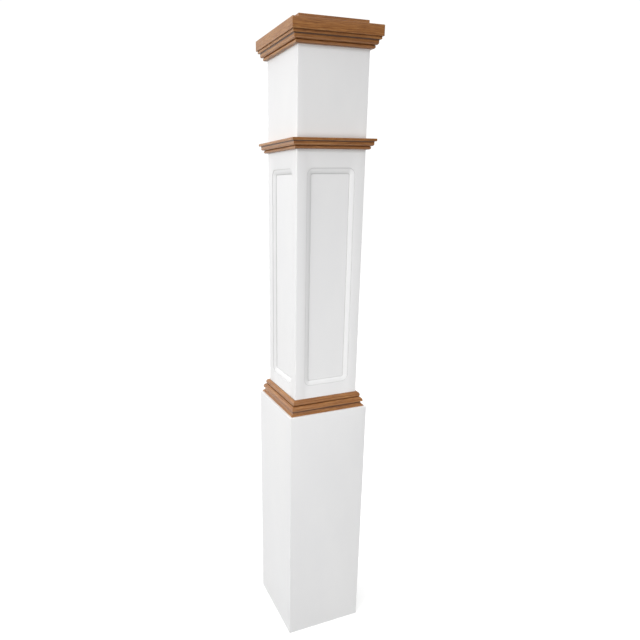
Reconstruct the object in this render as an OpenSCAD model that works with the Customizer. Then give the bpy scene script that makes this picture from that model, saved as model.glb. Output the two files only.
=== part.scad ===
// Box newel post. A hollow square shaft of four mitred boards stands on the floor, with a panel
// recess routed into each face. Four more mitred boards wrap its foot. Oak mouldings, mitred
// round the shaft, finish the top of the base, the neck and the underside of the cap.
// Millimetres. The origin is the middle of the underside, +Z is up and the front faces -Y.

/* [Shaft] */
// Outside width of the square shaft
shaft_w = 152.4; // [130:0.1:220]
// Height of the shaft, from the floor to the underside of the cap board
shaft_h = 1346; // [1250:1:1700]
// Thickness of the shaft boards
shaft_board_t = 19; // [12:0.5:28]
// Radius of the eased outer corners of the painted boards
arris_r = 1.2; // [0.4:0.1:3]

/* [Base] */
// Height of the base boards
base_h = 590; // [350:0.5:750]
// Thickness of the base boards
base_board_t = 19; // [15:0.5:30]

/* [Panel recess] */
// Width of plain face left at each side of the recess
stile_w = 22.2; // [16:0.1:30]
// Height of plain face between the base moulding and the recess
foot_rail_h = 29.4; // [20:0.1:80]
// Height of plain face between the recess and the neck moulding
head_rail_h = 35; // [20:0.1:80]
// Radius of the outer corners of the recess
recess_r = 14.5; // [13:0.5:25]
// Depth of the flat panel below the face of the board
recess_depth = 5.6; // [4.8:0.1:7]
// Depth of the square step at the outer edge of the routed border
outer_step = 1.2; // [0.8:0.1:1.6]
// Width of the narrow flat at the foot of the outer step
border_flat = 1.2; // [0.8:0.1:2]
// Width of the rounded slope of the routed border
border_slope = 9; // [6:0.1:10]
// How far the slope bulges above a straight line across it
slope_bulge = 0.5; // [0.2:0.1:1]
// Depth of the square step at the edge of the flat panel
inner_step = 0.9; // [0.5:0.1:1.3]

/* [Base moulding] */
// Height of the base moulding
base_mould_h = 33.6; // [32:0.1:45]
// How far the foot of the base moulding stands out from the shaft
base_mould_out = 14.3; // [14:0.1:15]
// Height of the square edge at the foot of the base moulding
foot_edge_h = 2; // [1:0.5:3]
// Height of the underside of the round lobe above the foot
lobe_z = 11.2; // [10.4:0.1:11.6]
// Radius of the round lobe
lobe_r = 9.8; // [9.2:0.1:9.8]
// How far the lobe stands out from the shaft
lobe_out = 12.8; // [12:0.1:13.2]
// Radius of the hollow between the foot and the lobe
hollow_r = 8.9; // [8.2:0.1:9.4]
// How far the narrowest part of that hollow stands out from the shaft
hollow_out = 8.8; // [8:0.1:10]
// Height of the bead's underside above the foot
bead_z = 21.5; // [21:0.1:22.2]
// How far the bead stands out from the shaft, which is its top radius as well
bead_out = 7.6; // [7:0.1:8]
// Radius of the bead's underside
bead_under_r = 3.2; // [2:0.1:4]
// How far the bottom of the groove between lobe and bead stands out from the shaft
groove_out = 4.8; // [4:0.1:6]

/* [Band moulding] */
// Height of the band moulding, used at the neck and under the cap
band_h = 19.8; // [19:0.1:30]
// How far the top edge of the band moulding stands out from the shaft
band_out = 15.9; // [15:0.1:18]
// Height of the square top edge of the band moulding
band_edge_h = 4.9; // [4:0.1:6]
// Radius of the small hollow under the top edge
band_hollow_r = 1.5; // [1:0.1:2]
// How far the face of the round part of the band moulding stands out from the shaft
band_round_out = 12; // [11.5:0.1:12.5]
// Radius of the round part of the band moulding
band_round_r = 3.4; // [3:0.1:5]
// Radius of the bead at the foot of the band moulding
band_bead_r = 3.1; // [3:0.1:3.8]
// How far that bead stands out from the shaft
band_bead_out = 7.6; // [7:0.1:8]
// Height of plain shaft between the neck moulding and the cap moulding
upper_block_h = 160.4; // [120:0.1:220]

/* [Cap] */
// How far the cap board overhangs the shaft
cap_overhang = 19; // [17:0.5:40]
// Thickness of the cap board
cap_board_t = 19; // [12:0.5:30]
// How far the cap block is set in from the edge of the cap board
cap_block_inset = 21.2; // [12:0.1:30]
// Height of the upright edge of the cap block
cap_block_edge = 11; // [6:0.5:20]
// Rise of the low pyramid on the cap block
pyramid_rise = 20; // [8:0.5:40]

/* [Hidden] */
SIDES = ["front", "right", "back", "left"];
RINGS = ["shaft_board", "base_board", "base_moulding", "neck_moulding", "cap_moulding"];
$fn = 64;

// Half widths from the middle of the post
shaft_half = shaft_w / 2;
base_half = shaft_half + base_board_t;
cap_half = shaft_half + cap_overhang;
block_half = cap_half - cap_block_inset;

// Heights above the floor
base_mould_top = base_h + base_mould_h;
cap_mould_z = shaft_h - band_h;
neck_z = cap_mould_z - upper_block_h - band_h;
cap_board_top = shaft_h + cap_board_t;
block_top = cap_board_top + cap_block_edge;

// The recess, as it lies in the face of a board
recess_w = shaft_w - 2 * stile_w;
recess_z0 = base_mould_top + foot_rail_h;
recess_z1 = neck_z - head_rail_h;
recess_h = recess_z1 - recess_z0;
border_w = border_flat + border_slope;
slope_drop = recess_depth - outer_step - inner_step;
// The slope is an arc of this radius over a straight line of this length
slope_line = norm([border_slope, slope_drop]);
slope_r = pow(slope_line, 2) / (8 * slope_bulge) + slope_bulge / 2;
// Cuts start this far outside the face, and a round part's backing reaches this far past its centre
overcut = 1;

white = [0.93, 0.93, 0.93];
oak = [0.55, 0.35, 0.19];

// The front quarter of the plan, out to the given half width, between the two mitre planes
module front_quarter(half) {
    polygon([[0, 0], [-half, -half], [half, -half]]);
}

// A square outline with small round corners
module eased_square(half, r) {
    square([2 * half, 2 * (half - r)], center = true);
    square([2 * (half - r), 2 * half], center = true);
    for (x = [-1, 1], y = [-1, 1]) translate([x, y] * (half - r)) circle(r);
}

// One upright board on the front face, mitred at both edges
module mitred_board(half, thickness, height) {
    linear_extrude(height) intersection() {
        difference() {
            eased_square(half, arris_r);
            square(2 * (half - thickness), center = true);
        }
        front_quarter(half);
    }
}

// One length of moulding on the front face, mitred at both ends. The child is its section:
// x is how far it stands out from the shaft and y is the height above its foot.
module mitred_length(out, height) {
    reach = shaft_half + out;
    intersection() {
        translate([-reach, -shaft_half, 0]) rotate([90, 0, 90])
            linear_extrude(2 * reach) mirror([1, 0]) children();
        linear_extrude(height) front_quarter(reach);
    }
}

// Turns a front piece to side number k, anticlockwise from the front
module on_side(k) {
    rotate([0, 0, 90 * k]) children();
}

// Quarter-round corners all round a rectangle, and straight runs between them. The child is the
// section: x is the distance out from the corner's centre and y is the height.
module swept_border(w, h, r) {
    half_w = w / 2 - r;
    half_h = h / 2 - r;
    for (k = [0:3]) {
        along = k % 2 == 0 ? half_h : half_w;
        across = k % 2 == 0 ? half_w : half_h;
        rotate([0, 0, 90 * k]) {
            translate([across, along, 0]) rotate([90, 0, 0]) linear_extrude(2 * along) children();
            translate([across, along, 0]) rotate_extrude(angle = 90) children();
        }
    }
}

// A flat-bottomed pocket inside the recess, set in from its outline
module pocket(inset, depth) {
    half_w = recess_w / 2 - inset;
    half_h = recess_h / 2 - inset;
    r = recess_r - inset;
    translate([0, 0, -depth]) linear_extrude(depth + overcut) {
        square([2 * half_w, 2 * (half_h - r)], center = true);
        square([2 * (half_w - r), 2 * half_h], center = true);
        for (x = [-1, 1], y = [-1, 1]) translate([x * (half_w - r), y * (half_h - r)]) circle(r);
    }
}

// The air over the rounded slope of the border, as a section for swept_border
module slope_section() {
    to_wood = [slope_drop, -border_slope] / slope_line;
    translate([recess_r - border_flat - border_slope, -outer_step - slope_drop]) difference() {
        square([border_slope, slope_drop]);
        translate([border_slope, slope_drop] / 2 + (slope_r - slope_bulge) * to_wood)
            circle(slope_r, $fn = 256);
    }
}

// Everything the router takes out of a board's face, which is at z = 0 here
module recess_cut() {
    pocket(0, outer_step);
    pocket(border_w, recess_depth);
    swept_border(recess_w, recess_h, recess_r) slope_section();
}

module shaft_board(k) {
    color(white) on_side(k) difference() {
        mitred_board(shaft_half, shaft_board_t, shaft_h);
        translate([0, -shaft_half, (recess_z0 + recess_z1) / 2]) rotate([90, 0, 0]) recess_cut();
    }
}

module base_board(k) {
    color(white) on_side(k) mitred_board(base_half, base_board_t, base_h);
}

// Foot edge, hollow, round lobe, groove and a bead that dies into the shaft
module base_moulding_section() {
    hollow_top = lobe_z - overcut;
    intersection() {
        square([base_mould_out, base_mould_h]);
        union() {
            square([base_mould_out, foot_edge_h]);
            difference() {
                square([base_mould_out, lobe_z]);
                translate([hollow_out + hollow_r, hollow_top]) circle(hollow_r, $fn = 128);
            }
            intersection() {
                translate([lobe_out - lobe_r, lobe_z + overcut]) circle(lobe_r, $fn = 128);
                translate([0, lobe_z]) square([lobe_out, lobe_r]);
            }
            translate([0, lobe_z]) square([groove_out, base_mould_h - bead_out - lobe_z]);
            translate([0, bead_z]) square([bead_out - bead_under_r, bead_under_r]);
            translate([bead_out - bead_under_r, bead_z + bead_under_r]) circle(bead_under_r);
            translate([0, bead_z + bead_under_r])
                square([bead_out, base_mould_h - bead_out - bead_z - bead_under_r]);
            translate([0, base_mould_h - bead_out]) circle(bead_out);
        }
    }
}

module base_moulding(k) {
    color(oak) translate([0, 0, base_h]) on_side(k)
        mitred_length(base_mould_out, base_mould_h) base_moulding_section();
}

// Foot bead, round face, small hollow and a square top edge
module band_moulding_section() {
    edge_z = band_h - band_edge_h;
    round_z = 2 * band_bead_r;
    hollow_x = band_round_out + band_hollow_r;
    translate([0, edge_z]) square([band_out, band_edge_h]);
    difference() {
        translate([0, edge_z - band_hollow_r]) square([hollow_x, band_hollow_r]);
        translate([hollow_x, edge_z - band_hollow_r]) circle(band_hollow_r);
    }
    translate([0, round_z + band_round_r]) square([band_round_out, edge_z - round_z - band_round_r]);
    translate([0, round_z]) square([band_round_out - band_round_r, band_round_r]);
    intersection() {
        translate([band_round_out - band_round_r, round_z + band_round_r]) circle(band_round_r);
        square([band_round_out, round_z + band_round_r]);
    }
    square([band_bead_out - band_bead_r, round_z]);
    translate([band_bead_out - band_bead_r, band_bead_r]) circle(band_bead_r);
}

module band_moulding(k, z) {
    color(oak) translate([0, 0, z]) on_side(k)
        mitred_length(band_out, band_h) band_moulding_section();
}

module cap_board() {
    color(oak) translate([-cap_half, -cap_half, shaft_h])
        cube([2 * cap_half, 2 * cap_half, cap_board_t]);
}

// A square block whose top falls from the middle to all four edges. The top is what two
// crossing gable shapes have in common.
module cap_block() {
    gable = [
        [-block_half, 0],
        [block_half, 0],
        [block_half, cap_block_edge],
        [0, cap_block_edge + pyramid_rise],
        [-block_half, cap_block_edge]
    ];
    color(oak) translate([0, 0, cap_board_top]) intersection() {
        translate([0, block_half, 0]) rotate([90, 0, 0]) linear_extrude(2 * block_half) polygon(gable);
        translate([-block_half, 0, 0]) rotate([90, 0, 90]) linear_extrude(2 * block_half) polygon(gable);
    }
}

for (k = [0:3]) {
    shaft_board(k);
    base_board(k);
    base_moulding(k);
    band_moulding(k, neck_z);
    band_moulding(k, cap_mould_z);
}
cap_board();
cap_block();
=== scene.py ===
# Box newel post: a hollow square shaft of mitred painted boards, a boxed foot, and oak mouldings,
# mitred round the shaft, at the top of the foot, at the neck and under the oak cap.
# Metres. The origin is the middle of the underside, +Z is up and the front faces -Y.
import math

import bpy
import numpy as np
from mathutils import Matrix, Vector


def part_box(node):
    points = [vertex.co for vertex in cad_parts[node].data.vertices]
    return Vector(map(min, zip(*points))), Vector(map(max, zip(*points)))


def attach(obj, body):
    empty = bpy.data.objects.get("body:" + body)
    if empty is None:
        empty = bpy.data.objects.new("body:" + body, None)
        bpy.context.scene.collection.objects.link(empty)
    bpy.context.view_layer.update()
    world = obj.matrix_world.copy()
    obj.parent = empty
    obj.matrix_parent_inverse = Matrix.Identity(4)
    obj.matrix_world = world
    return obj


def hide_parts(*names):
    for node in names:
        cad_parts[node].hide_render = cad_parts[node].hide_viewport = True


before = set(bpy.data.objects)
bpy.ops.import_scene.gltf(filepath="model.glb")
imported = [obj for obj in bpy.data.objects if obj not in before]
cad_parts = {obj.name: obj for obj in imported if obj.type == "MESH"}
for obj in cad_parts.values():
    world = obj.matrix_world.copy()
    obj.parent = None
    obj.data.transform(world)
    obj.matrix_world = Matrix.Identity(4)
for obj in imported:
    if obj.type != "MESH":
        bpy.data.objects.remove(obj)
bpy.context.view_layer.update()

# --- Shaft boards ---------------------------------------------------------------------------
# Four poplar boards, mitred along both long edges and glued into a hollow square tube that runs
# the whole height. A router has cut a shallow panel with a rounded border into each face, and
# the outside is sprayed and rolled satin white. Inside and underneath the wood is bare.
SIDES = ("front", "right", "back", "left")
shaft_low, shaft_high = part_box("shaft_board_front")
base_low, base_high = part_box("base_board_front")
base_mould_low, base_mould_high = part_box("base_moulding_front")
neck_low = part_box("neck_moulding_front")[0]

shaft_half = -shaft_low.y
board_thickness = shaft_high.y - shaft_low.y
arris_radius = 0.0012
stile_width = 0.0222
foot_rail = 0.0294
head_rail = 0.0350
recess_radius = 0.0145
recess_depth = 0.0056
outer_step = 0.0012
border_flat = 0.0012
border_width = 0.0102
slope_bulge = 0.0005
inner_step = 0.0009
recess_half_width = shaft_half - stile_width
recess_low = base_mould_high.z + foot_rail
recess_high = neck_low.z - head_rail
corner_points = 17
upright_points = 15
level_points = 9
sharp_edge = math.radians(32)
corner_shade_reach = 0.0013
painted_depth = 0.0019
painted_ledge = 0.004


def frame_outline(half_width, low, high, radius, square_reach=0.0):
    """Points (x, z) round an upright rectangle, starting at the foot of its right side.

    Each corner has the same number of points, so that outlines of all kinds join up. With a
    radius they lie on a quarter circle. With a square reach they lie on the two straight edges
    that meet at a square corner, up to that far from it. The straight sides between two
    corners leave out their own ends, which the corners have.
    """
    turn = np.linspace(0.0, 1.0, corner_points)
    if square_reach:
        reach = square_reach
        across = half_width - reach * np.clip(2 * turn - 1, 0, 1)
        up = -reach * np.clip(1 - 2 * turn, 0, 1)
    else:
        reach = radius
        across = half_width - radius + radius * np.cos(turn * math.pi / 2)
        up = -radius + radius * np.sin(turn * math.pi / 2)
    upright = np.linspace(low + reach, high - reach, upright_points)[1:-1]
    level = np.linspace(half_width - reach, reach - half_width, level_points)[1:-1]
    right = np.column_stack([np.full_like(upright, half_width), upright])
    top = np.column_stack([level, np.full_like(level, high)])
    head_right = np.column_stack([across, high + up])
    head_left = np.column_stack([-across, high + up])[::-1]
    foot_left = np.column_stack([-across, low - up])
    foot_right = np.column_stack([across, low - up])[::-1]
    left = np.column_stack([-right[:, 0], upright[::-1]])
    bottom = np.column_stack([level[::-1], np.full_like(level, low)])
    return np.concatenate(
        [right, head_right, top, head_left, left, foot_left, bottom, foot_right]
    )


def quarter_turned(points, side):
    """Points turned about the upright axis by a quarter turn for each side after the front."""
    quarter_turn = np.array([[0, -1, 0], [1, 0, 0], [0, 0, 1]], float)
    return points @ np.linalg.matrix_power(quarter_turn, side).T


def closed_piece(name, rings, attributes):
    """A closed solid from rings of points: quads join each ring to the next, and a flat face
    closes the first and the last ring. Faces are turned outwards by the sign of the volume,
    the sum over all triangles of a . (b x c) / 6."""
    count, around = rings.shape[:2]
    points = rings.reshape(-1, 3)
    ring = np.arange(count - 1)[:, None] * around
    step = np.arange(around)[None, :]
    after = (step + 1) % around
    quads = np.stack(
        [ring + step, ring + after, ring + around + after, ring + around + step], axis=-1
    ).reshape(-1, 4)
    first = np.arange(around)[::-1]
    last = (count - 1) * around + np.arange(around)
    a, b, c, d = (points[quads[:, i]] for i in range(4))
    volume = np.einsum("ij,ij->", a, np.cross(b, c)) + np.einsum("ij,ij->", a, np.cross(c, d))
    for flat in (first, last):
        loop = points[flat]
        volume += np.einsum("j,ij->", loop[0], np.cross(loop[1:-1], loop[2:]))
    if volume < 0:
        quads = quads[:, ::-1]
        first = first[::-1]
        last = last[::-1]
    mesh = bpy.data.meshes.new(name)
    mesh.from_pydata(points.tolist(), [], quads.tolist() + [first.tolist(), last.tolist()])
    for label, values in attributes.items():
        kind = "FLOAT_VECTOR" if values.ndim == 3 else "FLOAT"
        layer = mesh.attributes.new(label, kind, "POINT")
        layer.data.foreach_set(
            "vector" if kind == "FLOAT_VECTOR" else "value", values.astype(np.float32).ravel()
        )
    mesh.polygons.foreach_set("use_smooth", np.ones(len(mesh.polygons), bool))
    mesh.set_sharp_from_angle(angle=sharp_edge)
    mesh.update()
    piece = bpy.data.objects.new(name, mesh)
    bpy.context.scene.collection.objects.link(piece)
    return piece


def shader_node(tree, kind, options, inputs):
    """Adds a node, sets its options, and fills each input with a value or another output."""
    made = tree.nodes.new(kind)
    for key, value in options.items():
        setattr(made, key, value)
    for key, value in inputs.items():
        if isinstance(value, bpy.types.NodeSocket):
            tree.links.new(value, made.inputs[key])
        else:
            made.inputs[key].default_value = value
    return made


def arithmetic(tree, operation, first, second, third=0.0):
    """The result of one Math node. The third number is only read by a multiply and add."""
    made = shader_node(tree, "ShaderNodeMath", {"operation": operation}, {0: first, 1: second})
    if operation == "MULTIPLY_ADD":
        made.inputs[2].default_value = third
    return made.outputs[0]


def stretched_noise(tree, place, stretch, detail=3.0, roughness=0.5, shift=(0.0, 0.0, 0.0)):
    """Noise whose cells measure one over the stretch along each axis. Its value is 0 to 1."""
    mapped = shader_node(
        tree, "ShaderNodeMapping", {}, {"Vector": place, "Scale": stretch, "Location": shift}
    )
    made = shader_node(
        tree,
        "ShaderNodeTexNoise",
        {},
        {
            "Vector": mapped.outputs["Vector"],
            "Scale": 1.0,
            "Detail": detail,
            "Roughness": roughness,
        },
    )
    return made.outputs["Fac"]


def between(tree, value, low, high, to_low=0.0, to_high=1.0):
    """A value carried smoothly from one range to another, and held at its ends."""
    made = shader_node(
        tree,
        "ShaderNodeMapRange",
        {"interpolation_type": "SMOOTHSTEP"},
        {
            "Value": value,
            "From Min": low,
            "From Max": high,
            "To Min": to_low,
            "To Max": to_high,
        },
    )
    return made.outputs["Result"]


def colour_mix(tree, share, first, second):
    """The first colour carried towards the second by a share from 0 to 1."""
    made = shader_node(tree, "ShaderNodeMix", {"data_type": "RGBA"}, {"Factor": share})
    for index, value in ((6, first), (7, second)):
        if isinstance(value, bpy.types.NodeSocket):
            tree.links.new(value, made.inputs[index])
        else:
            made.inputs[index].default_value = (*value, 1.0)
    return made.outputs[2]


def painted_wood():
    """Satin white paint over primed poplar, and bare poplar where the paint stops. It reads how
    bare the wood is, and how much painted shade greys its corners, from its own attributes."""
    material = bpy.data.materials.new("painted_wood")
    material.use_nodes = True
    tree = material.node_tree
    tree.nodes.clear()
    place = shader_node(tree, "ShaderNodeTexCoord", {}, {}).outputs["Object"]
    bare = shader_node(tree, "ShaderNodeAttribute", {"attribute_name": "bare"}, {}).outputs["Fac"]
    painted_corner_shade = shader_node(
        tree, "ShaderNodeAttribute", {"attribute_name": "painted_corner_shade"}, {}
    ).outputs["Fac"]

    # The coat: a faint cloudiness, and painted shade: a grey in the inner corners of the border
    cloud = stretched_noise(tree, place, (7, 7, 3), detail=4.0, roughness=0.6)
    white = colour_mix(
        tree, between(tree, cloud, 0.3, 0.7), (0.845, 0.845, 0.85), (0.875, 0.873, 0.872)
    )
    white = colour_mix(tree, painted_corner_shade, white, (0.54, 0.535, 0.53))

    # The bare wood: pale and yellowish, streaked along the board
    streak = stretched_noise(tree, place, (160, 160, 7), detail=4.0, roughness=0.6)
    broad = stretched_noise(tree, place, (22, 22, 2), detail=2.0)
    poplar = colour_mix(
        tree, between(tree, streak, 0.3, 0.75), (0.62, 0.47, 0.29), (0.42, 0.29, 0.16)
    )
    poplar = colour_mix(
        tree, between(tree, broad, 0.45, 0.7, 0.0, 0.5), poplar, (0.38, 0.33, 0.19)
    )
    sawn = between(tree, bare, 0.4, 0.6)
    colour = colour_mix(tree, sawn, white, poplar)

    # The coat's height: the roller's fine stipple, and faint long marks where the paint flowed
    stipple = stretched_noise(tree, place, (520, 520, 520), detail=2.5, roughness=0.55)
    flow = stretched_noise(tree, place, (330, 330, 14), detail=3.0, roughness=0.6)
    sheen = between(tree, cloud, 0.3, 0.7, 0.34, 0.42)
    sheen = arithmetic(tree, "ADD", sheen, arithmetic(tree, "MULTIPLY", stipple, 0.05))
    rough = shader_node(
        tree, "ShaderNodeMix", {"data_type": "FLOAT"}, {0: sawn, 2: sheen, 3: 0.82}
    ).outputs[0]
    coat_height = arithmetic(
        tree,
        "ADD",
        arithmetic(tree, "MULTIPLY", stipple, 0.6),
        arithmetic(tree, "MULTIPLY", flow, 0.4),
    )
    fibre_height = arithmetic(tree, "MULTIPLY", streak, 3.0)
    height = shader_node(
        tree, "ShaderNodeMix", {"data_type": "FLOAT"}, {0: sawn, 2: coat_height, 3: fibre_height}
    ).outputs[0]
    bump = shader_node(
        tree, "ShaderNodeBump", {}, {"Height": height, "Strength": 0.6, "Distance": 0.00004}
    )
    surface = shader_node(
        tree,
        "ShaderNodeBsdfPrincipled",
        {},
        {
            "Base Color": colour,
            "Roughness": rough,
            "Normal": bump.outputs["Normal"],
            "Specular IOR Level": 0.5,
        },
    )
    output = shader_node(tree, "ShaderNodeOutputMaterial", {}, {})
    tree.links.new(surface.outputs["BSDF"], output.inputs["Surface"])
    return material


paint = painted_wood()


def eased_ends(half, thickness, radius, low, high, ease_top):
    """Rings of a mitred board from its face to its back, as (x, depth, z), each with a mask that
    is 1 where the wood is bare and 0 where it is painted.

    The edge leaves the face on a circle of the given radius until it meets the mitre at 45
    degrees, where the half width is the whole half width less the depth. Two rings stand close
    on either side of the depth that the paint reaches, so it stops on a clean line.
    """
    paint_line = 0.0003
    turn = np.linspace(0.0, math.pi / 4, 5)
    paint_edge = (painted_depth - paint_line, painted_depth + paint_line)
    depth = np.concatenate(
        [radius * (1 - np.cos(turn)), paint_edge, [thickness * 0.5, thickness]]
    )
    width = np.where(
        depth < radius * (1 - math.cos(math.pi / 4)) + 1e-9,
        half - radius + np.sqrt(np.maximum(radius**2 - (radius - depth) ** 2, 0)),
        half - depth,
    )
    if ease_top:
        turned = np.clip(radius - depth, 0, radius)
        top = high - radius + np.sqrt(radius**2 - turned**2)
    else:
        top = np.full_like(depth, high)
    rings = []
    masks = []
    for x, d, z in zip(width, depth, top):
        outline = frame_outline(x, low, z, 0.0, square_reach=recess_radius)
        rings.append(
            np.column_stack([outline[:, 0], np.full(len(outline), d), outline[:, 1]])
        )
        covered = (outline[:, 1] > high - painted_ledge) & ease_top
        masks.append(np.where(covered, 0.0, 1.0) * (d > painted_depth))
    return rings, masks


def router_profile():
    """The routed border as (set in from the outline, depth), from the face to the flat panel.

    A square step, a narrow flat, a slope and a second square step. The slope stands above the
    straight line across it by the bulge times 4 t (1 - t). The paint softens every arris.
    """
    soft = 0.0004
    soft_edge = 0.0002
    bulge_across = 0.37
    bulge_out = 0.93
    slope_end = 0.97
    slope_points = 14
    inside_border = (0.002, 0.004)
    turn = np.linspace(0.0, math.pi / 2, 5)
    edge_depth = recess_depth - inner_step
    lip = np.column_stack([-soft + soft * np.sin(turn), soft - soft * np.cos(turn)])
    toe = np.column_stack(
        [soft - soft * np.cos(turn), outer_step - soft + soft * np.sin(turn)]
    )
    share = np.linspace(0.0, slope_end, slope_points)
    bulge = slope_bulge * 4 * share * (1 - share)
    slope = np.column_stack(
        [
            border_flat + share * (border_width - border_flat) + bulge_across * bulge,
            outer_step + share * (edge_depth - outer_step) - bulge_out * bulge,
        ]
    )
    edge = np.column_stack(
        [
            border_width - soft_edge + soft_edge * np.sin(turn),
            edge_depth + soft_edge - soft_edge * np.cos(turn),
        ]
    )[1:]
    foot = np.column_stack(
        [
            border_width + soft - soft * np.cos(turn),
            recess_depth - soft + soft * np.sin(turn),
        ]
    )
    panel = np.array([[border_width + further, recess_depth] for further in inside_border])
    return np.concatenate([lip, toe[1:], slope, edge, foot, panel])


def corner_shade_share(profile):
    """How far each point of a profile lies in a hollow, 0 to 1, from its distance to the two
    inner corners of the border. The paint greys by this share: painted shade in the corners."""
    corners = np.array([[0.0, outer_step], [border_width, recess_depth]])
    distance = np.linalg.norm(profile[:, None, :] - corners[None], axis=2).min(axis=1)
    return np.clip(1.0 - distance / corner_shade_reach, 0.0, 1.0)


for side, side_name in enumerate(SIDES):
    profile = router_profile()[::-1]
    # Painted shade in the border's inner corners, carried on every ring for the paint
    corner_shade = corner_shade_share(profile)
    rings = []
    bare = []
    painted_corner_shade = []
    for (inset, depth), shade_here in zip(profile, corner_shade):
        outline = frame_outline(
            recess_half_width - inset,
            recess_low + inset,
            recess_high - inset,
            recess_radius - inset,
        )
        rings.append(
            np.column_stack([outline[:, 0], np.full(len(outline), depth), outline[:, 1]])
        )
        bare.append(np.zeros(len(outline)))
        painted_corner_shade.append(np.full(len(outline), shade_here))
    edge_rings, edge_masks = eased_ends(
        shaft_half, board_thickness, arris_radius, shaft_low.z, shaft_high.z, False
    )
    rings = np.array(rings + edge_rings)
    rings[:, :, 1] -= shaft_half
    bare = np.array(bare + edge_masks)
    painted_corner_shade = np.array(painted_corner_shade + [np.zeros(rings.shape[1])] * len(edge_rings))
    board = closed_piece(
        f"painted_shaft_{side_name}",
        quarter_turned(rings, side),
        {"bare": bare, "painted_corner_shade": painted_corner_shade},
    )
    board.data.materials.append(paint)
    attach(board, "root")
    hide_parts(f"shaft_board_{side_name}")

# --- Base boards ----------------------------------------------------------------------------
# Four more poplar boards wrap the foot of the shaft. Their top edge is a narrow painted ledge
# that the base moulding stands on, and their long edges are mitred and eased like the shaft's.
base_half = -base_low.y
base_thickness = base_high.y - base_low.y

for side, side_name in enumerate(SIDES):
    edge_rings, edge_masks = eased_ends(
        base_half, base_thickness, arris_radius, base_low.z, base_high.z, True
    )
    rings = np.array(edge_rings)
    rings[:, :, 1] -= base_half
    board = closed_piece(
        f"painted_base_{side_name}",
        quarter_turned(rings, side),
        {"bare": np.array(edge_masks), "painted_corner_shade": np.zeros(rings.shape[:2])},
    )
    board.data.materials.append(paint)
    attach(board, "root")
    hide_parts(f"base_board_{side_name}")

# --- Base moulding --------------------------------------------------------------------------
# Four lengths of red oak moulding, mitred round the shaft and standing on the base boards. From
# the foot: a square edge, a hollow, a round lobe, a groove and a bead that dies into the shaft.
base_mould_foot = base_mould_low.z


def arc(centre, radius, start, end, count=24):
    """Points on a circle round a centre, from one angle in degrees to another."""
    turn = np.radians(np.linspace(start, end, count))
    return np.column_stack(
        [centre[0] + radius * np.cos(turn), centre[1] + radius * np.sin(turn)]
    )


def softened_section(corners, spacing=0.0003, soft=0.00022):
    """A section path cut into equal steps, with each point replaced by a mean of its
    neighbours weighted by a bell curve, so that every arris is eased. Both ends stay put."""
    gaps = np.linalg.norm(np.diff(corners, axis=0), axis=1)
    keep = np.concatenate([[True], gaps > 1e-9])
    corners = corners[keep]
    along = np.concatenate([[0.0], np.cumsum(np.linalg.norm(np.diff(corners, axis=0), axis=1))])
    count = int(along[-1] / spacing) + 2
    even = np.linspace(0.0, along[-1], count)
    path = np.column_stack([np.interp(even, along, corners[:, i]) for i in range(2)])
    weight = np.exp(-((even[:, None] - even[None, :]) ** 2) / (2 * soft**2))
    weight /= weight.sum(axis=1, keepdims=True)
    smooth = weight @ path
    smooth[0] = path[0]
    smooth[-1] = path[-1]
    return smooth


def section_normals(path):
    """Unit normals of a section path, pointing away from the wood: the path's direction turned
    a quarter turn clockwise."""
    along = np.gradient(path, axis=0)
    along /= np.linalg.norm(along, axis=1, keepdims=True)
    return np.column_stack([along[:, 1], -along[:, 0]])


def section_relief(path, corners, reach=0.0011):
    """Where a section is hollow (up to 1) or proud (down to -1): how far the mean of the points
    around each point lies outside it along its normal, over a fixed depth. Round each corner
    (out, height, radius, strength) a bell curve adds more, for gathered stain and painted shade."""
    full_relief = 0.00045
    along = np.concatenate([[0.0], np.cumsum(np.linalg.norm(np.diff(path, axis=0), axis=1))])
    weight = np.exp(-((along[:, None] - along[None, :]) ** 2) / (2 * reach**2))
    weight /= weight.sum(axis=1, keepdims=True)
    outside = np.einsum("ij,ij->i", weight @ path - path, section_normals(path))
    relief = np.clip(outside / full_relief, -1.0, 0.5)
    for out, height, radius, strength in corners:
        distance = np.hypot(path[:, 0] - out, path[:, 1] - height)
        relief = relief + strength * np.exp(-((distance / radius) ** 2))
    return np.clip(relief, -1.0, 1.0)


def base_moulding_section():
    """The base moulding's section as (out from the shaft, height above its foot): a square
    edge, then part circles for the hollow, the lobe and the bead, and a quarter circle back to
    the shaft. A turn is a part circle's first and last angle, where it meets its neighbours."""
    height = 0.0336
    foot_out = 0.0143
    foot_edge = 0.002
    lobe_foot = 0.0112
    lobe_radius = 0.0098
    lobe_centre = (0.0030, 0.0122)
    lobe_turn = (-5.86, 63.9)
    hollow_centre = (0.0177, 0.0102)
    hollow_radius = 0.0089
    hollow_turn = (247.4, 173.6)
    groove_out = 0.0048
    bead_centre = (0.0044, 0.0247)
    bead_radius = 0.0032
    bead_foot = 0.02153
    bead_turn = (-82.8, 0.0)
    top_radius = 0.0076
    return np.concatenate(
        [
            [[0.0, 0.0], [foot_out, 0.0], [foot_out, foot_edge]],
            arc(hollow_centre, hollow_radius, *hollow_turn),
            arc(lobe_centre, lobe_radius, *lobe_turn),
            [[groove_out, lobe_foot + lobe_radius], [groove_out, bead_foot]],
            arc(bead_centre, bead_radius, *bead_turn),
            arc((0.0, height - top_radius), top_radius, 0.0, 90.0),
        ]
    )


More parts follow.
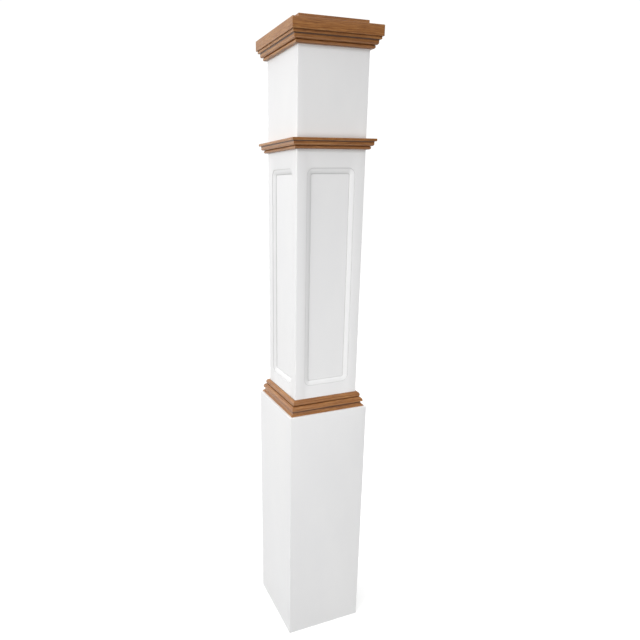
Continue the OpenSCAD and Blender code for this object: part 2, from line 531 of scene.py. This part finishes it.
def mitred_moulding(name, path, relief, side, foot, stick, ease=0.00015):
    """One length of moulding against the shaft, mitred at both ends.

    A point at height z that stands p out from the shaft runs along x from -(half + p) to
    (half + p), so both ends lie on the 45 degree mitre. Close to each end the section is drawn
    in along its normals by a hair, which leaves a fine line where two lengths meet, and is
    stained darker. The stick it is cut from is (x, y, z, tone): its place in the tree, and how
    much lighter its tone is; on the left lengths of the neck and cap mouldings that is mostly
    painted light.
    """
    against_shaft = 0.001
    draw = ease * np.clip(path[:, 0] / against_shaft, 0.0, 1.0)[:, None]
    drawn = path - section_normals(path) * draw
    hair = 0.00025
    mitre_stain = 0.5
    sections_along = 9
    shares = np.linspace(-1.0, 1.0, sections_along)
    rings = []
    for share in shares:
        line = drawn if abs(share) == 1.0 else path
        reach = shaft_half + line[:, 0]
        rings.append(np.column_stack([share * reach, -reach, foot + line[:, 1]]))
    first = rings[1].copy()
    first[:, 0] = -(shaft_half + path[:, 0] - hair)
    last = rings[-2].copy()
    last[:, 0] = shaft_half + path[:, 0] - hair
    rings = np.array([rings[0], first, *rings[1:-1], last, rings[-1]])
    stock = np.stack(
        [rings[:, :, 0], -rings[:, :, 1] - shaft_half, rings[:, :, 2] - foot], axis=2
    ) + np.array(stick[:3])
    relief = np.repeat(relief[None], len(rings), axis=0)
    relief[[0, -1]] = np.maximum(relief[[0, -1]], mitre_stain)
    return closed_piece(
        name,
        quarter_turned(rings, side),
        {"stock": stock, "relief": relief, "tone_and_painted_light": np.full_like(relief, stick[3])},
    )


def stained_oak():
    """Red oak, stained nut brown and lacquered. All of it is worked out in the sawn stock's own
    space, with x along the grain and the pith of the tree off to one side."""
    material = bpy.data.materials.new("stained_oak")
    material.use_nodes = True
    tree = material.node_tree
    tree.nodes.clear()
    stock = shader_node(
        tree, "ShaderNodeAttribute", {"attribute_name": "stock"}, {}
    ).outputs["Vector"]
    relief = shader_node(
        tree, "ShaderNodeAttribute", {"attribute_name": "relief"}, {}
    ).outputs["Fac"]
    tone_and_painted_light = shader_node(
        tree, "ShaderNodeAttribute", {"attribute_name": "tone_and_painted_light"}, {}
    ).outputs["Fac"]

    # The grain wanders: the stock's space is bent by a slow noise before anything reads it
    mapped = shader_node(
        tree, "ShaderNodeMapping", {}, {"Vector": stock, "Scale": (5.0, 28.0, 28.0)}
    )
    wander = shader_node(
        tree,
        "ShaderNodeTexNoise",
        {},
        {"Vector": mapped.outputs["Vector"], "Scale": 1.0, "Detail": 2.0, "Roughness": 0.5},
    )
    bend = shader_node(
        tree,
        "ShaderNodeVectorMath",
        {"operation": "MULTIPLY_ADD"},
        {0: wander.outputs["Color"], 1: (0.0, 0.012, 0.012), 2: stock},
    )
    grain = bend.outputs["Vector"]

    # Growth rings: distance from the pith over the width of a year's growth, then its fraction
    year_width = 0.0026
    across = shader_node(
        tree, "ShaderNodeVectorMath", {"operation": "MULTIPLY"}, {0: grain, 1: (0.0, 1.0, 1.0)}
    )
    from_pith = shader_node(
        tree, "ShaderNodeVectorMath", {"operation": "LENGTH"}, {0: across.outputs["Vector"]}
    )
    uneven = stretched_noise(tree, grain, (2.5, 160.0, 160.0), detail=2.0)
    years = arithmetic(tree, "MULTIPLY", from_pith.outputs["Value"], 1.0 / year_width)
    years = arithmetic(tree, "ADD", years, arithmetic(tree, "MULTIPLY", uneven, 1.7))
    season = arithmetic(tree, "FRACT", years, 0.0)
    spring = arithmetic(
        tree,
        "MAXIMUM",
        between(tree, season, 0.0, 0.42, 1.0, 0.0),
        between(tree, season, 0.93, 1.0, 0.0, 1.0),
    )

    # Pores: short dark dashes along the grain, crowded in the spring wood
    pore_noise = stretched_noise(tree, grain, (95.0, 2300.0, 2300.0), detail=1.0)
    pore = between(tree, pore_noise, 0.53, 0.64)
    crowd = arithmetic(tree, "MULTIPLY_ADD", spring, 0.5, 0.3)
    pore = arithmetic(tree, "MULTIPLY", pore, crowd)

    # Rays: thin blades that run out from the pith, seen as dashes or as small flecks
    parts = shader_node(tree, "ShaderNodeSeparateXYZ", {}, {0: grain})
    angle = arithmetic(tree, "ARCTAN2", parts.outputs["Z"], parts.outputs["Y"])
    blade = shader_node(
        tree,
        "ShaderNodeCombineXYZ",
        {},
        {0: parts.outputs["X"], 1: angle, 2: from_pith.outputs["Value"]},
    )
    ray_noise = stretched_noise(
        tree, blade.outputs["Vector"], (120.0, 210.0, 110.0), detail=1.0, shift=(3.1, 7.7, 1.9)
    )
    ray = between(tree, ray_noise, 0.66, 0.74)

    # Fibre: fine and broad streaks of tone
    fine = stretched_noise(tree, grain, (48.0, 800.0, 800.0), detail=3.0, roughness=0.6)
    streak = stretched_noise(tree, grain, (18.0, 330.0, 330.0), detail=3.0, roughness=0.55)
    broad = stretched_noise(tree, grain, (4.0, 45.0, 45.0), detail=2.0, shift=(1.3, 2.2, 4.4))

    tone = arithmetic(tree, "MULTIPLY_ADD", fine, 0.85, -0.425)
    tone = arithmetic(tree, "ADD", tone, arithmetic(tree, "MULTIPLY_ADD", streak, 0.7, -0.35))
    tone = arithmetic(tree, "ADD", tone, arithmetic(tree, "MULTIPLY_ADD", broad, 0.4, -0.2))
    tone = arithmetic(tree, "ADD", tone, arithmetic(tree, "MULTIPLY_ADD", spring, -0.13, 0.54))
    # Each stick's own lighter tone; on the left lengths of the neck and cap mouldings and the cap
    # board it is mostly painted light on the left faces
    tone = arithmetic(tree, "ADD", tone, tone_and_painted_light)
    ramp = shader_node(tree, "ShaderNodeValToRGB", {}, {"Fac": tone})
    stops = ramp.color_ramp.elements
    stops[0].position = 0.05
    stops[0].color = (0.142, 0.049, 0.0125, 1.0)
    stops[1].position = 0.95
    stops[1].color = (0.54, 0.275, 0.095, 1.0)
    middle = stops.new(0.5)
    middle.color = (0.333, 0.132, 0.034, 1.0)
    colour = ramp.outputs["Color"]
    colour = colour_mix(
        tree, arithmetic(tree, "MULTIPLY", ray, 0.35), colour, (0.40, 0.20, 0.085)
    )
    colour = colour_mix(
        tree, arithmetic(tree, "MULTIPLY", pore, 0.75), colour, (0.075, 0.026, 0.008)
    )

    # Gathered stain and painted shade in the hollows; the proud edges are rubbed a little lighter
    stain_and_painted_shade = between(tree, relief, 0.05, 1.0, 0.0, 0.93)
    colour = colour_mix(tree, stain_and_painted_shade, colour, (0.068, 0.026, 0.009))
    proud = between(tree, arithmetic(tree, "MULTIPLY", relief, -1.0), 0.25, 1.0, 0.0, 0.3)
    colour = colour_mix(tree, proud, colour, (0.50, 0.27, 0.115))

    rough = arithmetic(tree, "MULTIPLY_ADD", pore, 0.2, 0.40)
    rough = arithmetic(tree, "ADD", rough, arithmetic(tree, "MULTIPLY_ADD", fine, 0.12, -0.06))
    height = arithmetic(tree, "SUBTRACT", arithmetic(tree, "MULTIPLY", fine, 0.35), pore)
    bump = shader_node(
        tree, "ShaderNodeBump", {}, {"Height": height, "Strength": 0.7, "Distance": 0.00008}
    )
    surface = shader_node(
        tree,
        "ShaderNodeBsdfPrincipled",
        {},
        {
            "Base Color": colour,
            "Roughness": rough,
            "Normal": bump.outputs["Normal"],
            "Specular IOR Level": 0.28,
            "Coat Weight": 0.25,
            "Coat Roughness": 0.22,
        },
    )
    output = shader_node(tree, "ShaderNodeOutputMaterial", {}, {})
    tree.links.new(surface.outputs["BSDF"], output.inputs["Surface"])
    return material


oak = stained_oak()
base_mould_path = softened_section(base_moulding_section())
# Corners darkened by gathered stain and painted shade: the joint with the shaft, the groove under
# the bead, the foot of the lobe, and the painted shadow in the hollow beneath it.
base_mould_relief = section_relief(
    base_mould_path,
    (
        (0.0, 0.0336, 0.0013, 0.9),
        (0.0048, 0.0212, 0.0010, 0.6),
        (0.0127, 0.0110, 0.0014, 0.6),
        (0.0089, 0.0092, 0.0020, 1.0),
    ),
)
base_mould_stock = (
    (0.31, 0.052, 0.018, -0.03),
    (1.07, 0.043, -0.034, 0.03),
    (1.92, 0.060, 0.027, -0.02),
    (2.71, 0.049, -0.012, 0.04),
)
for side, side_name in enumerate(SIDES):
    moulding = mitred_moulding(
        f"oak_base_moulding_{side_name}",
        base_mould_path,
        base_mould_relief,
        side,
        base_mould_foot,
        base_mould_stock[side],
    )
    moulding.data.materials.append(oak)
    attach(moulding, "root")
    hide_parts(f"base_moulding_{side_name}")

# --- Neck and cap mouldings -----------------------------------------------------------------
# One small oak band moulding is used twice: round the neck, and again tight under the cap
# board. From the foot: a bead, a round face, a small hollow and a square top edge.


def band_moulding_section():
    """The band moulding's section as (out from the shaft, height above its foot): a round bead,
    a quarter round up to a flat face, a quarter hollow and a square edge."""
    height = 0.0198
    top_out = 0.0159
    edge_foot = 0.0149
    bead_out = 0.0045
    bead_radius = 0.0031
    round_radius = 0.0034
    round_out = 0.0120
    hollow_radius = 0.0015
    hollow_foot = edge_foot - hollow_radius
    return np.concatenate(
        [
            [[0.0, 0.0]],
            arc((bead_out, bead_radius), bead_radius, -90.0, 90.0),
            arc((round_out - round_radius, 2 * bead_radius + round_radius), round_radius, -90, 0),
            [[round_out, hollow_foot]],
            arc((round_out + hollow_radius, hollow_foot), hollow_radius, 180.0, 90.0, count=9),
            [[top_out, edge_foot], [top_out, height], [0.0, height]],
        ]
    )


cap_mould_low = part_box("cap_moulding_front")[0]
band_path = softened_section(band_moulding_section())
# The fourth number of each stick is its lighter tone; the large values on the left lengths are
# painted light on the left faces.
band_places = (
    (
        "neck_moulding",
        neck_low.z,
        (
            (3.4, 0.056, 0.02, -0.06),
            (4.3, 0.05, -0.03, 0.02),
            (5.2, 0.061, 0.03, 0.0),
            (6.1, 0.047, -0.015, 0.14),
        ),
    ),
    (
        "cap_moulding",
        cap_mould_low.z,
        (
            (7.3, 0.05, 0.031, -0.05),
            (8.2, 0.058, -0.02, 0.02),
            (9.4, 0.044, 0.024, -0.02),
            (10.2, 0.055, -0.03, 0.16),
        ),
    ),
)
# Corners darkened by gathered stain and painted shade: under the bead where it meets the shaft,
# above the bead, and in the hollow under the top edge.
band_corners = (
    (0.0050, 0.0, 0.0018, 1.0),
    (0.0052, 0.0063, 0.0006, 0.2),
    (0.0124, 0.0144, 0.0012, 0.9),
)
# Under the cap board a darker line still: painted shadow in the gap beneath the board.
under_board = (0.0159, 0.0198, 0.0013, 1.4)
for node, foot, stock_places in band_places:
    corners = band_corners + ((under_board,) if node == "cap_moulding" else ())
    relief = section_relief(band_path, corners)
    for side, side_name in enumerate(SIDES):
        moulding = mitred_moulding(
            f"oak_{node}_{side_name}", band_path, relief, side, foot, stock_places[side]
        )
        moulding.data.materials.append(oak)
        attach(moulding, "root")
        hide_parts(f"{node}_{side_name}")

# --- Cap board ------------------------------------------------------------------------------
# One square of oak on top of the shaft and the cap moulding, lipped all round, so that the grain
# follows each edge and meets in mitres at the corners. Its arrises are sanded off a little.
cap_low, cap_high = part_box("cap_board")
cap_half = cap_high.x
cap_ease = 0.0007
cap_edge_band = 0.006
under_block = 0.028
lower_arris = slice(1, 5)
upper_arris = slice(7, 11)
sanded = -0.5


def square_rings(levels):
    """Rings of a square solid from (height, half width, corner radius), lowest first. Each
    ring is a square with rounded corners, lying level."""
    rings = []
    for height, half, radius in levels:
        outline = frame_outline(half, -half, half, radius)
        rings.append(
            np.column_stack([outline[:, 0], outline[:, 1], np.full(len(outline), height)])
        )
    return np.array(rings)


def mitred_grain(mesh, foot, sticks):
    """Gives every face corner its place in the sawn stock. A face belongs to the side that its
    centre is nearest to, and is turned to the front before its stick's place is added. Its
    stick's lighter tone goes with it, which on the left edge is mostly painted light."""
    points = np.empty(3 * len(mesh.vertices))
    mesh.vertices.foreach_get("co", points)
    vertex = np.empty(len(mesh.loops), int)
    mesh.loops.foreach_get("vertex_index", vertex)
    corners = np.empty(len(mesh.polygons), int)
    mesh.polygons.foreach_get("loop_total", corners)
    centre = np.empty(3 * len(mesh.polygons))
    mesh.polygons.foreach_get("center", centre)
    across, back = centre.reshape(-1, 3)[:, :2].T
    side = np.where(
        np.abs(back) > np.abs(across), np.where(back < 0, 0, 2), np.where(across > 0, 1, 3)
    )
    side = np.repeat(side, corners)
    x, y, z = points.reshape(-1, 3)[vertex].T
    turned = np.column_stack(
        [np.choose(side, [x, y, -x, -y]), np.choose(side, [y, -x, -y, x]), z - foot]
    )
    sticks = np.array(sticks)[side]
    stock = mesh.attributes.new("stock", "FLOAT_VECTOR", "CORNER")
    stock.data.foreach_set("vector", (turned + sticks[:, :3]).astype(np.float32).ravel())
    tone_and_painted_light = mesh.attributes.new("tone_and_painted_light", "FLOAT", "CORNER")
    tone_and_painted_light.data.foreach_set("value", sticks[:, 3].astype(np.float32))


quarter = np.linspace(0.0, math.pi / 2, 5)
cap_rise = cap_ease * (1 - np.cos(quarter))
cap_draw = cap_ease * (1 - np.sin(quarter))
levels = [(cap_low.z, cap_half - cap_edge_band, cap_ease)]
levels += [(cap_low.z + up, cap_half - in_by, cap_ease) for up, in_by in zip(cap_rise, cap_draw)]
levels += [
    (cap_high.z - up, cap_half - in_by, cap_ease)
    for up, in_by in zip(cap_rise[::-1], cap_draw[::-1])
]
levels += [
    (cap_high.z, cap_half - cap_edge_band, cap_ease),
    (cap_high.z, cap_half - under_block, cap_ease),
]
rings = square_rings(levels)
relief = np.zeros(rings.shape[:2])
relief[lower_arris] = sanded
relief[upper_arris] = sanded
cap_board = closed_piece("oak_cap_board", rings, {"relief": relief})
# The fourth number of each stick is its lighter tone; the left edge's larger value is painted
# light on the left face.
mitred_grain(
    cap_board.data,
    cap_low.z,
    (
        (12.4, 0.013, 0.047, -0.02),
        (13.1, 0.021, 0.041, 0.0),
        (13.9, 0.008, 0.052, 0.02),
        (14.8, 0.017, 0.044, 0.10),
    ),
)
cap_board.data.materials.append(oak)
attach(cap_board, "root")
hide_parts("cap_board")

# --- Cap block ------------------------------------------------------------------------------
# A smaller square block of oak, glued in the middle of the cap board. Its edges stand upright
# and its top is planed to a low four-sided point.
block_low, block_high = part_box("cap_block")
block_half = block_high.x
block_ease = 0.0006
block_edge_height = 0.011
block_edge_top = block_low.z + block_edge_height
block_under_inset = 0.004
block_stick = (16.1, -0.021, 0.060)
block_paler = 0.04
slope_half_widths = (0.060, 0.040, 0.020, 0.006, 0.0004)
least_corner_share = 0.02
slope = (block_high.z - block_edge_top) / block_half
levels = [
    (block_low.z, block_half - block_under_inset, block_ease),
    (block_low.z, block_half, block_ease),
    (block_edge_top - block_ease, block_half, block_ease),
]
eased = np.linspace(0.0, math.pi / 2 - math.atan(slope), 5)[1:]
levels += [
    (
        block_edge_top - block_ease + block_ease * math.sin(angle),
        block_half - block_ease * (1 - math.cos(angle)),
        block_ease,
    )
    for angle in eased
]
levels += [
    (block_high.z - slope * half, half, block_ease * max(half / block_half, least_corner_share))
    for half in slope_half_widths
]
rings = square_rings(levels)
block = closed_piece(
    "oak_cap_block",
    rings,
    {
        "stock": rings - np.array([0.0, 0.0, block_low.z]) + np.array(block_stick),
        "relief": np.zeros(rings.shape[:2]),
        "tone_and_painted_light": np.full(rings.shape[:2], block_paler),
    },
)
block.data.materials.append(oak)
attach(block, "root")
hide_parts("cap_block")

# --- Floor ----------------------------------------------------------------------------------
# A wide, plain, almost white floor with a little glow of its own, as a studio's lit paper has,
# so that the post stands on something. It throws no light back on the post.
floor_mesh = bpy.data.meshes.new("floor")
floor_half = 9.0
floor_corners = floor_half * np.array([[-1, -1, 0], [1, -1, 0], [1, 1, 0], [-1, 1, 0]], float)
floor_mesh.from_pydata(floor_corners.tolist(), [], [(0, 1, 2, 3)])
floor = bpy.data.objects.new("floor", floor_mesh)
bpy.context.scene.collection.objects.link(floor)
floor_paper = bpy.data.materials.new("floor_paper")
floor_paper.use_nodes = True
tree = floor_paper.node_tree
surface = tree.nodes["Principled BSDF"]
surface.inputs["Roughness"].default_value = 0.85
surface.inputs["Specular IOR Level"].default_value = 0.15
surface.inputs["Emission Color"].default_value = (1.0, 1.0, 1.0, 1.0)
surface.inputs["Emission Strength"].default_value = 0.12
place = shader_node(tree, "ShaderNodeTexCoord", {}, {}).outputs["Object"]
mottle = stretched_noise(tree, place, (3.0, 3.0, 3.0), detail=3.0)
tree.links.new(
    colour_mix(
        tree, between(tree, mottle, 0.3, 0.7), (0.94, 0.94, 0.94), (0.96, 0.96, 0.955)
    ),
    surface.inputs["Base Color"],
)
floor_mesh.materials.append(floor_paper)
floor.visible_diffuse = False
floor.visible_shadow = False

# --- Light ----------------------------------------------------------------------------------
# Soft studio light: a white surround, brighter behind the post and overhead, dim below; a lamp
# to the left, so the left faces are brightest; one high in front, which leaves soft shadows
# under the mouldings; a low one for the foot; and a weak one behind. The camera sees plain white.
world = bpy.data.worlds.new("studio")
bpy.context.scene.world = world
world.use_nodes = True
tree = world.node_tree
tree.nodes.clear()
direction = shader_node(tree, "ShaderNodeTexCoord", {}, {}).outputs["Generated"]
parts = shader_node(tree, "ShaderNodeSeparateXYZ", {}, {0: direction})
brightness = between(tree, parts.outputs["Y"], -0.6, 0.7, 0.12, 0.96)
overhead = between(tree, parts.outputs["Z"], 0.1, 1.0, 0.0, 0.80)
shade = between(tree, parts.outputs["X"], -0.1, 0.8, 1.0, 0.80)
brightness = arithmetic(tree, "MULTIPLY", arithmetic(tree, "ADD", brightness, overhead), shade)
above = between(tree, parts.outputs["Z"], -0.06, 0.02)
brightness = shader_node(
    tree, "ShaderNodeMix", {"data_type": "FLOAT"}, {0: above, 2: 0.17, 3: brightness}
).outputs[0]
lit = shader_node(
    tree, "ShaderNodeBackground", {}, {"Color": (1, 1, 1, 1), "Strength": brightness}
)
seen = shader_node(
    tree, "ShaderNodeBackground", {}, {"Color": (1, 1, 1, 1), "Strength": 1.05}
)
rays = shader_node(tree, "ShaderNodeLightPath", {}, {})
chosen = shader_node(
    tree,
    "ShaderNodeMixShader",
    {},
    {0: rays.outputs["Is Camera Ray"], 1: lit.outputs[0], 2: seen.outputs[0]},
)
output = shader_node(tree, "ShaderNodeOutputWorld", {}, {})
tree.links.new(chosen.outputs[0], output.inputs["Surface"])


def facing(right, up, forward, place):
    """The matrix of a lamp or camera at a place. Its columns are its right, its up, the reverse
    of the way it faces, and the place."""
    placed = np.eye(4)
    placed[:3] = np.column_stack([right, up, -forward, place])
    return Matrix(placed.tolist())


def soft_light(name, place, aim, size, power):
    """A square area light that faces its aim. Its local -Z axis is the direction of the light."""
    lamp = bpy.data.lights.new(name, "AREA")
    lamp.shape = "SQUARE"
    lamp.size = size
    lamp.energy = power
    holder = bpy.data.objects.new(name, lamp)
    bpy.context.scene.collection.objects.link(holder)
    toward = np.array(aim, float) - np.array(place, float)
    toward /= np.linalg.norm(toward)
    right = np.cross(toward, [0.0, 0.0, 1.0])
    right /= np.linalg.norm(right)
    holder.matrix_world = facing(right, np.cross(right, toward), toward, place)


soft_light("key", (-2.2, -1.0, 1.6), (0.0, 0.0, 0.9), 1.4, 34.3)
soft_light("front", (1.5, -4.2, 4.6), (0.0, 0.0, 0.8), 1.8, 53.0)
soft_light("low", (0.2, -2.2, 0.25), (0.0, 0.0, 0.3), 1.2, 14.5)
soft_light("rim", (-3.4, 5.0, 1.2), (0.0, 0.0, 0.8), 2.0, 26.0)

# --- Camera ---------------------------------------------------------------------------------
# Close to the post and a little below its neck, turned to show the front and the left side.
camera_data = bpy.data.cameras.new("camera")
camera_data.sensor_width = 36.0
camera_data.lens = 30.214
camera_data.shift_x = 0.0916
camera_data.shift_y = 0.0583
camera_data.clip_start = 0.05
camera_data.clip_end = 60.0
camera = bpy.data.objects.new("camera", camera_data)
bpy.context.scene.collection.objects.link(camera)
heading = math.radians(20.358)
dip = math.radians(17.541)
lean = math.radians(-0.739)
forward = np.array(
    [math.sin(heading) * math.cos(dip), math.cos(heading) * math.cos(dip), -math.sin(dip)]
)
level_right = np.array([math.cos(heading), -math.sin(heading), 0.0])
level_up = np.cross(level_right, forward)
right = math.cos(lean) * level_right + math.sin(lean) * level_up
up = -math.sin(lean) * level_right + math.cos(lean) * level_up
stand = (-0.5313, -1.0902, 1.0755)
camera.matrix_world = facing(right, up, forward, stand)
bpy.context.scene.camera = camera
bpy.context.scene.view_settings.view_transform = "Standard"
